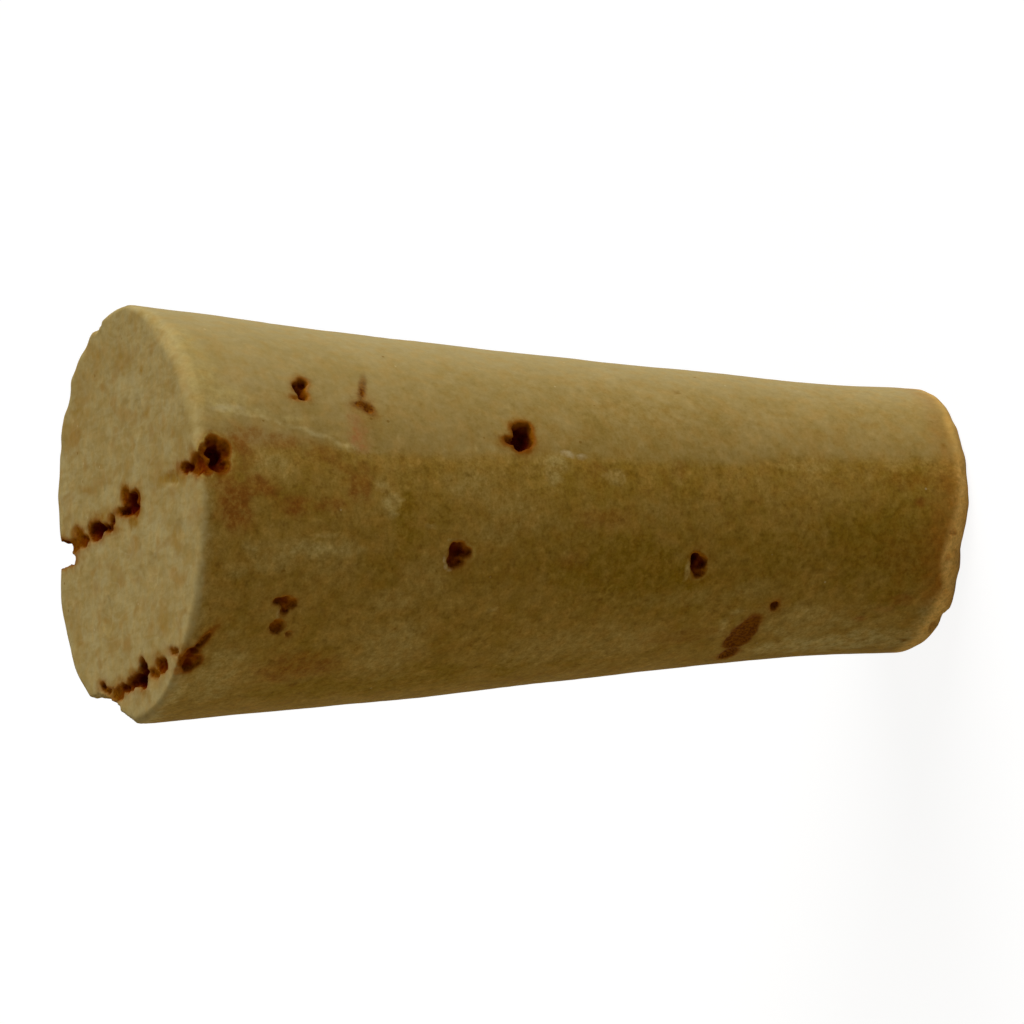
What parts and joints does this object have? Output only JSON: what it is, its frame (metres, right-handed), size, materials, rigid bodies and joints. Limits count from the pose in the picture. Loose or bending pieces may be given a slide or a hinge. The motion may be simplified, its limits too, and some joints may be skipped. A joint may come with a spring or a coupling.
{
  "type": "cork stopper",
  "caption": "Long tapered stopper of natural cork, with open lenticel channels across its head, pits in its side and a worn foot rim.",
  "frame": {"origin": "centre of the foot face, the small end, on which the stopper stands", "axes": "+Z along the stopper's axis from the foot to the head, -Y towards the front"},
  "size_m": [0.019, 0.0188, 0.0395],
  "materials": {
    "natural_cork": "bare natural cork, matte, olive brown with darker growth rings and pits"
  },
  "bodies": {
    "root": {"stopper": "natural_cork"}
  },
  "joints": []
}
